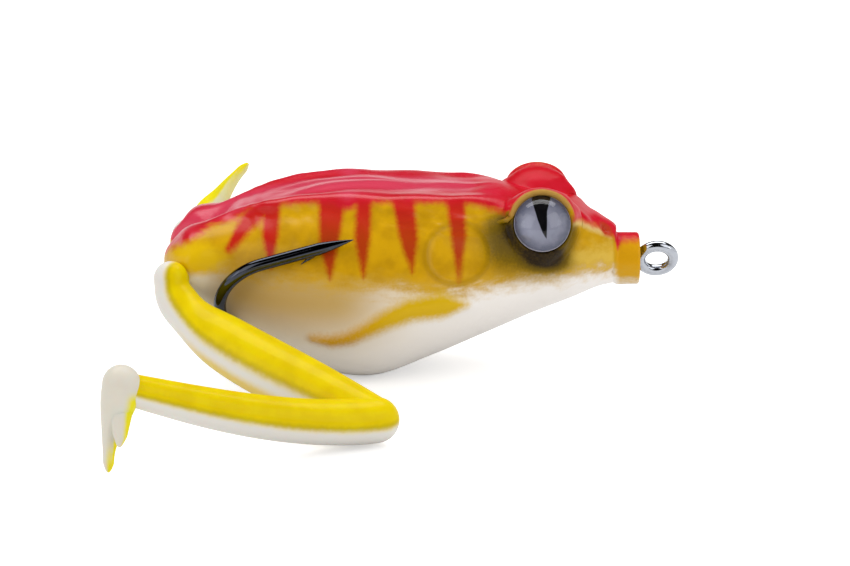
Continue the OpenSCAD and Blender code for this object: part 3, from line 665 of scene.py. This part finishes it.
slope = np.radians(-hook["slope"])
hookTurn = np.array([[np.cos(slope), 0, np.sin(slope)], [0, 1, 0], [-np.sin(slope), 0, np.cos(slope)]])
hookAt = np.array([hook["eyeX"], 0, skin["level"]])
start = [np.array(v, float) for v in ([-hook["eye"], hook["apart"], 0], [0, 1, 0], [0, 0, -1], [-1, 0, 0])]
frames = wirePath(start, [(hook["front"], hook["spreadRadius"], hook["spread"], 0),
                          (hook["run"], hook["spreadRadius"], hook["spread"], 180),
                          (hook["straight"], hook["bend"], 180, hook["tilt"] - 90), (hook["point"], 0, 0, 0)])
end = frames[-1]
ground = np.linspace(0, 1, 18)[1:]
frames += [[end[0] + end[3] * hook["taper"] * u, end[1], end[2], end[3]] for u in ground]
centres, sides, ups = (np.array([f[k] for f in frames]) for k in range(3))
radii = np.concatenate([np.full(len(frames) - len(ground), hook["wire"]),
                        hook["wire"] * (0.05 + 0.95 * (1 - ground ** 1.3))])
wire = tube(centres, sides, ups, radii, 24)
# Barb: a thin sliver raised from the wire behind the point
turn = rolled(end, np.radians(hook["tilt"] - 90 + hook["barbTurn"]))
u = np.linspace(0, 1, 9)
barbMiddle = (end[0] + turn[1] * mix(*hook["barbHigh"], u)[:, None]
              - turn[3] * mix(*hook["barbBack"], u)[:, None])
barb = tube(barbMiddle, np.tile(turn[2], (9, 1)), np.tile(turn[1] * hook["barbDeep"], (9, 1)),
            mix(*hook["barbHalf"], u), 14)
hookShells = [(hoop(np.zeros(3), np.array([0, 0, 1.0]), hook["eye"], hook["wire"]), True, {})]
for mirror in (1, -1):
    hookShells += [(wire * [1, mirror, 1], False, {}), (barb * [1, mirror, 1], False, {})]
hookShells = [(rings @ hookTurn.T + hookAt, loop, values) for rings, loop, values in hookShells]
makePiece("doubleHook", hookShells, dark, "shell", ["double_hook"])
print("double hook built")

# Keel weight: the CAD shape, with a dull cast lead finish that shows only through the hook slots
lead, tree, shader = newMaterial("cast_lead", {"Metallic": 1.0})
tree.links.new(blendColour(tree, noise(tree, 1.5), "#7C8086", "#5E6268"), shader.inputs["Base Color"])
tree.links.new(mask(tree, noise(tree, 0.6), -1.0, 1.6), shader.inputs["Roughness"])
keel = frame["nodes"]["keel_weight"]
keel.data.materials.clear()
keel.data.materials.append(lead)
print("keel weight finished")

# Legs: soft tubes that sag between their hinges, round at the hinges so that they bend without a gap
leg = {
    # thicknesses at the joints and at the thigh's widest, then each limb's sag, how early it sags, how much
    # the shin swells and how far each limb begins before its hinge
    "hip": 5.0, "knee": 5.2, "ankle": 3.4, "thigh": 7.0, "thighSag": 2.8, "thighEarly": 0.55,
    "shinSag": 1.4, "shinEarly": 0.8, "shinSwell": 0.5, "thighLead": 0.4, "shinLead": 0.1,
    "hipBall": 1.35, "stem": 1.2,    # how much smaller the ball is than the hip, and the stem's radius
    "stemFrom": {"left": np.array([-19.6, 5.5, 15.444]), "right": np.array([-19.6, -5.5, 15.444])},
    "bow": {"right": 0.4, "left": 0.0},    # how far the thigh's start is moved back
    # foot: length, heel radius and blade thickness; then where the toes point, the short toe's share of the
    # length, where the blade is narrow, the side of the yellow strip and the share of a yellow tint
    "foot": 10.3, "heel": 2.1, "footThick": 1.2,
    "toe": {"right": np.array([-26.7, -44.2, 0.35]), "left": np.array([-14.5, 47.9, 16.7])},
    "short": {"right": 0.62, "left": 0.3}, "taper": {"right": 0.6, "left": 0.42},
    "edge": {"right": 1, "left": -1}, "tint": {"right": 0.0, "left": 0.7},
}
softVinyl = {"Roughness": 0.42, "IOR": 1.5, "Specular IOR Level": 0.03, "Subsurface Scale": 0.001}

# Two-colour moulded vinyl: yellow over milky white, soft enough to let light in, with a painted olive shade
# line along the join and painted warm light under the thigh
twoTone, tree, shader = newMaterial("two_colour_soft_vinyl", {
    **softVinyl, "Coat Weight": 0.1, "Coat Roughness": 0.06, "Subsurface Weight": 0.15})
seam = shaken(tree, field(tree, "seam"), 0.6, 0.06)
yellow = blendColour(tree, mask(tree, noise(tree, 3.0), 0.35, 0.65), "#E2C800", "#DABE00")
# Painted warm light: the white under the thigh is tinted yellow
warmLight = math(tree, "MULTIPLY", mask(tree, seam, -0.3, -0.7), field(tree, "warmLight"))
under = blendColour(tree, warmLight, "#DEDAD3", "#DDC36C")
legs = blendColour(tree, mask(tree, seam, -0.24, 0.16), under, yellow)
# Painted shade: a soft olive line just above the join, on the outer side
line = math(tree, "ABSOLUTE", math(tree, "SUBTRACT", seam, 0.1))
seamShadow = math(tree, "MULTIPLY", mask(tree, line, 0.22, 0.0), mask(tree, field(tree, "outer"), 0.0, 0.5))
legs = blendColour(tree, math(tree, "MULTIPLY", seamShadow, 0.35), legs, "#8C7E06")
tree.links.new(legs, shader.inputs["Base Color"])
bump(tree, shader, noise(tree, 1.5), 0.03)

# Milky vinyl paddle: white heel, yellow strip and toe tip
milky, tree, shader = newMaterial("milky_soft_vinyl", {
    **softVinyl, "Coat Weight": 0.2, "Coat Roughness": 0.1, "Subsurface Weight": 0.12})
strip = mask(tree, shaken(tree, field(tree, "footFront"), 0.6, 0.1), 0.3, 0.75)
strip = math(tree, "MULTIPLY", strip, mask(tree, field(tree, "footAlong"), -0.05, 0.1))
tip = mask(tree, shaken(tree, field(tree, "footAlong"), 0.6, 0.06), 0.5, 0.95)
tip = math(tree, "MULTIPLY", tip, mask(tree, field(tree, "footFront"), -0.6, 0.3))
pale = blendColour(tree, field(tree, "footTint"), "#D6D0C2", "#E4DE86")
foot = blendColour(tree, math(tree, "MAXIMUM", strip, tip), pale, "#E6D814")
tree.links.new(foot, shader.inputs["Base Color"])
bump(tree, shader, noise(tree, 1.5), 0.03)


def limb(a, b, up, sag, early, radius, lead, bow, warmLight, count=48):
    # Tube along a centre line from a to b that is lowered by sag * sin(pi * u^early), begins a lead before a,
    # is eased, and is moved back by bow near its start; its ends are round
    points, cap = 120, 9
    u = np.linspace(0, 1, 160) ** 1.5
    centres = a + (b - a) * u[:, None] - up * (sag * np.sin(np.pi * u ** early))[:, None]
    first = unit(centres[6] - centres[0])
    centres = np.concatenate([a - first * np.linspace(lead, 0.05, 12)[:, None], centres])
    run = np.concatenate([[0], np.cumsum(np.linalg.norm(np.diff(centres, axis=0), axis=1))])
    even = np.linspace(0, run[-1], points)
    centres = np.stack([np.interp(even, run, centres[:, k]) for k in range(3)], -1)
    soft = np.array([0.1, 0.2, 0.4, 0.2, 0.1])
    for _ in range(12):
        padded = np.concatenate([2 * centres[:1] - centres[2:0:-1], centres,
                                 2 * centres[-1:] - centres[-2:-4:-1]])
        centres = sum(w * padded[k:k + points] for k, w in enumerate(soft))
    centres = centres - [bow, 0, 0] * ramp(0.42, 0.04, even / even[-1])[:, None]
    flat = unit(np.cross(up, b - a))
    outer = np.array([0, np.sign(a[1]), 0])
    tangents = unit(np.gradient(centres, axis=0))
    normals = np.cross(tangents, flat)
    r = radius(np.clip((even - lead) / (even[-1] - lead), 0, 1))
    t = np.linspace(0.08, np.pi / 2, cap + 1)[:-1]
    line = np.concatenate([centres[0] - tangents[0] * (r[0] * np.cos(t))[:, None], centres,
                           centres[-1] + tangents[-1] * (r[-1] * np.cos(t[::-1]))[:, None]])
    radii = np.concatenate([r[0] * np.sin(t), r, r[-1] * np.sin(t[::-1])])
    normals, middle, full = (np.concatenate([np.repeat(v[:1], cap, 0), v, np.repeat(v[-1:], cap, 0)])
                             for v in (normals, centres, r))
    rings = tube(line, np.tile(flat, (len(line), 1)), normals, radii, count)
    fields = seamFields(rings, middle[:, None], full[:, None], normals[:, None], outer, warmLight)
    # White climbs toward the hip, and the painted warm light under the thigh fades there
    done = np.concatenate([np.zeros(cap), even / even[-1], np.ones(cap)])[:, None]
    fields["seam"] = fields["seam"] - 0.3 * warmLight * ramp(0.3, 0.0, done)
    fields["warmLight"] = fields["warmLight"] * ramp(0.14, 0.36, done)
    return rings, False, fields


def seamFields(points, middle, radius, up, outer, warmLight=0.0):
    # Height over the centre line as a share of the radius; the yellow reaches lower on the inner side
    out = ((points - middle) @ outer) / radius
    return {"seam": ((points - middle) * up).sum(-1) / radius - 0.1 + 0.6 * ramp(0.1, -0.6, out), "outer": out,
            "warmLight": np.full(out.shape, warmLight)}


def toeShell(side, heel, ahead, wide, thick, u, half, shift, thin, lean):
    # Strip along the foot, round at the heel and flat at the toe, with that half width and half thickness at
    # each place, moved sideways by shift and backward by lean
    a = np.linspace(0, 2 * np.pi, 44, endpoint=False)
    c, s = np.cos(a), np.sin(a)
    power = mix(1, 0.8, ramp(0, 0.4, u))[:, None]
    cx, sx = np.sign(c) * np.abs(c) ** power, np.sign(s) * np.abs(s) ** power
    middle = heel + ahead * (leg["foot"] * u)[:, None] + wide * shift[:, None] + thick * lean[:, None]
    rings = middle[:, None] + (half[:, None] * cx)[..., None] * wide + (thin[:, None] * sx)[..., None] * thick
    front = unit(np.array([1.0, 0, 0]) - ahead[0] * ahead) * leg["edge"][side]
    across = np.ones(rings.shape[:2])
    fields = {"footAlong": u[:, None] * across, "footFront": unit(rings - middle[:, None]) @ front,
              "footTint": leg["tint"][side] * ramp(0.1, 0.6, u)[:, None] * across}
    return rings, False, fields


def paddle(side, heel, wide):
    # From a round heel to a thin blade that divides into a long inner toe and a short outer one
    ahead, short = unit(leg["toe"][side] - heel), leg["short"][side]
    heelHalf, blade = leg["heel"], leg["footThick"] / 2
    thick = np.cross(wide, ahead)
    thick = thick * -np.sign(thick[0])
    top, bend = -0.235, -0.03
    t = np.linspace(0.04, np.pi / 2, 18)[1:-1]
    u = np.concatenate([bend - (bend - top) * np.cos(t), np.linspace(bend, 0.9, 64), 1 - 0.1 * np.cos(t)])
    ends = np.sqrt(1 - np.clip((bend - u) / (bend - top), 0, 1) ** 2) * np.sqrt(np.clip((1 - u) / 0.12, 0, 1))
    half = mix(heelHalf, 0.85, ramp(0.1, leg["taper"][side], u)) * mix(1, 0.7, ramp(0.6, 1, u))
    thin = mix(heelHalf, blade, ramp(0, 0.85, u))
    lean = 0.35 * (heelHalf - thin) * ramp(1.2, 0.5, u)
    longToe = toeShell(side, heel, ahead, wide, thick, u, ends * half, 1.5 * np.clip(u, 0, 1),
                       ends * thin, lean)
    v = np.concatenate([np.linspace(0, short - 0.12, 40), short - 0.12 * np.cos(t)])
    end = np.sqrt(np.clip((short - v) / 0.14, 0, 1))
    shortToe = toeShell(side, heel, ahead, wide, thick, v, end * mix(1.2, 1.0, ramp(0.1, 0.5, v)),
                        -mix(0.4, 0.85, ramp(0.1, 0.55, v)),
                        end * mix(1.6, blade, ramp(0, 0.65, v)), 0 * v)
    return [longToe, shortToe]


def thighRadius(u):
    # Swells to the middle, with a rounded start and a thinner neck behind it
    swell = (leg["thigh"] - (leg["hip"] + leg["knee"]) / 2) / 2
    plain = mix(leg["hip"], leg["knee"], u) / 2 + swell * np.sin(np.pi * u)
    return plain - 0.4 * bell(u, 0.06) - 0.45 * bell(u - 0.15, 0.1) - 0.03 * u


def shinRadius(u):
    return mix(leg["knee"], leg["ankle"], u) / 2 + leg["shinSwell"] / 2 * np.sin(np.pi * u)


for side in ("left", "right"):
    hip, knee, ankle = (jointAt(f"{side}_{name}") for name in ("hip", "knee", "ankle"))
    up = jointAxis(f"{side}_knee")
    up = up * np.sign(up[2])
    hipBall = ball(hip, leg["hip"] / 2 - leg["hipBall"], up)
    xs = np.linspace(0, 1, 10)[:, None]
    stemWay = unit(hip - leg["stemFrom"][side])
    stemSide = unit(np.cross(stemWay, up))
    stem = tube(mix(leg["stemFrom"][side], hip, xs), np.tile(stemSide, (10, 1)),
                np.tile(np.cross(stemWay, stemSide), (10, 1)), np.full(10, leg["stem"]), 24)
    outer = np.array([0, np.sign(hip[1]), 0])
    makePiece(f"{side}LegRoot",
              [(rings, False, seamFields(rings, hip, leg["hip"] / 2, up, outer)) for rings in (hipBall, stem)],
              twoTone, "shell", [f"{side}_leg_root"])
    thigh = limb(hip, knee, up, leg["thighSag"], leg["thighEarly"], thighRadius, leg["thighLead"],
                 leg["bow"][side], 1.0)
    makePiece(f"{side}Thigh", [thigh], twoTone, f"{side}_upper_leg", [f"{side}_thigh"])
    shin = limb(knee, ankle, up, leg["shinSag"], leg["shinEarly"], shinRadius, leg["shinLead"], 0.0, 0.0)
    makePiece(f"{side}Shin", [shin], twoTone, f"{side}_lower_leg", [f"{side}_shin"])
    foot = paddle(side, ankle, -jointAxis(f"{side}_ankle"))
    makePiece(f"{side}Foot", foot, milky, f"{side}_paddle", [f"{side}_foot"])
print("legs built")

# Stage: pale floor, soft studio light, dark canopy and the photo's camera, in metres
stage = {
    "floor": 3.0, "glow": 0.45,    # half size, and the light it adds for the camera
    "canopy": 1.2, "canopyHalf": 1.8, "canopyArc": (178, 14),    # radius, half length and degrees
    "lens": 121.55, "sensor": 36.0, "from": Vector((0.007, -0.33807, 0.10127)),
    "toward": Vector((0.007, 0.0, 0.01068)),
}

# Matt white floor: brought up to plain white for the camera, and still darkened by the object's shadow
floorPaint, tree, shader = newMaterial("matt_white_floor", {
    "Base Color": colour("#F2F2F2"), "Roughness": 0.9, "Specular IOR Level": 0.0,
    "Emission Color": colour("#FFFFFF")})
seen = addNode(tree, "ShaderNodeLightPath").outputs["Is Camera Ray"]
tree.links.new(math(tree, "MULTIPLY", seen, stage["glow"]), shader.inputs["Emission Strength"])
floorMesh = bpy.data.meshes.new("floor")
corners = [(x * stage["floor"], y * stage["floor"], 0) for x, y in ((-1, -1), (1, -1), (1, 1), (-1, 1))]
floorMesh.from_pydata(corners, [], [(0, 1, 2, 3)])
floorMesh.materials.append(floorPaint)
floor = addObject("floor", floorMesh)


def faceToward(thing, at, toward):
    thing.location = at
    thing.rotation_euler = (toward - at).to_track_quat("-Z", "Y").to_euler()


def softbox(name, at, toward, width, height, power):
    lamp = bpy.data.lights.new(name, "AREA")
    lamp.shape, lamp.size, lamp.size_y, lamp.energy = "RECTANGLE", width, height, power
    faceToward(addObject(name, lamp), Vector(at), Vector(toward))


softbox("topBox", (0.0, 0.22, 0.55), (0.0, 0.0, 0.0), 0.8, 0.3, 2.6)
softbox("rightBox", (0.55, -0.42, 0.42), (0.0, 0.0, 0.01), 0.6, 0.6, 1.8)
softbox("leftBox", (-0.55, -0.42, 0.36), (0.0, 0.0, 0.01), 0.6, 0.6, 1.7)

# Matt black cloth: hung over the front of the set and seen only in reflections, for dark edges on wire and eyes
cloth, tree, shader = newMaterial("matt_black_cloth", {
    "Base Color": colour("#141414"), "Roughness": 0.9, "Specular IOR Level": 0.0})
a = np.radians(np.linspace(*stage["canopyArc"], 16))
edge = stage["canopy"] * np.stack([0 * a, np.cos(a), np.sin(a)], -1)
ends = [edge - [stage["canopyHalf"], 0, 0], edge + [stage["canopyHalf"], 0, 0]]
canopyMesh = bpy.data.meshes.new("canopy")
canopyMesh.from_pydata(np.concatenate(ends).tolist(), [], [(k, k + 1, k + 17, k + 16) for k in range(15)])
canopyMesh.materials.append(cloth)
canopy = addObject("canopy", canopyMesh)
canopy.visible_camera = canopy.visible_diffuse = canopy.visible_shadow = False

# White room: brighter to the camera, in mirrors and through clear resin than as light on the object
world = bpy.data.worlds.new("whiteRoom")
bpy.context.scene.world = world
world.use_nodes = True
tree = world.node_tree
background = tree.nodes["Background"]
background.inputs["Color"].default_value = colour("#FFFFFF")
path = addNode(tree, "ShaderNodeLightPath").outputs
seen = math(tree, "MAXIMUM", path["Is Glossy Ray"], path["Is Transmission Ray"])
seen = math(tree, "MAXIMUM", path["Is Camera Ray"], seen)
tree.links.new(math(tree, "ADD", math(tree, "MULTIPLY", seen, 0.5), 0.5), background.inputs["Strength"])

camera = bpy.data.cameras.new("photoCamera")
camera.lens, camera.sensor_width = stage["lens"], stage["sensor"]
camera.clip_start, camera.clip_end = 0.01, 20.0
viewer = addObject("photoCamera", camera)
faceToward(viewer, stage["from"], stage["toward"])
bpy.context.scene.camera = viewer
bpy.context.scene.view_settings.view_transform = "Standard"
print("stage set")
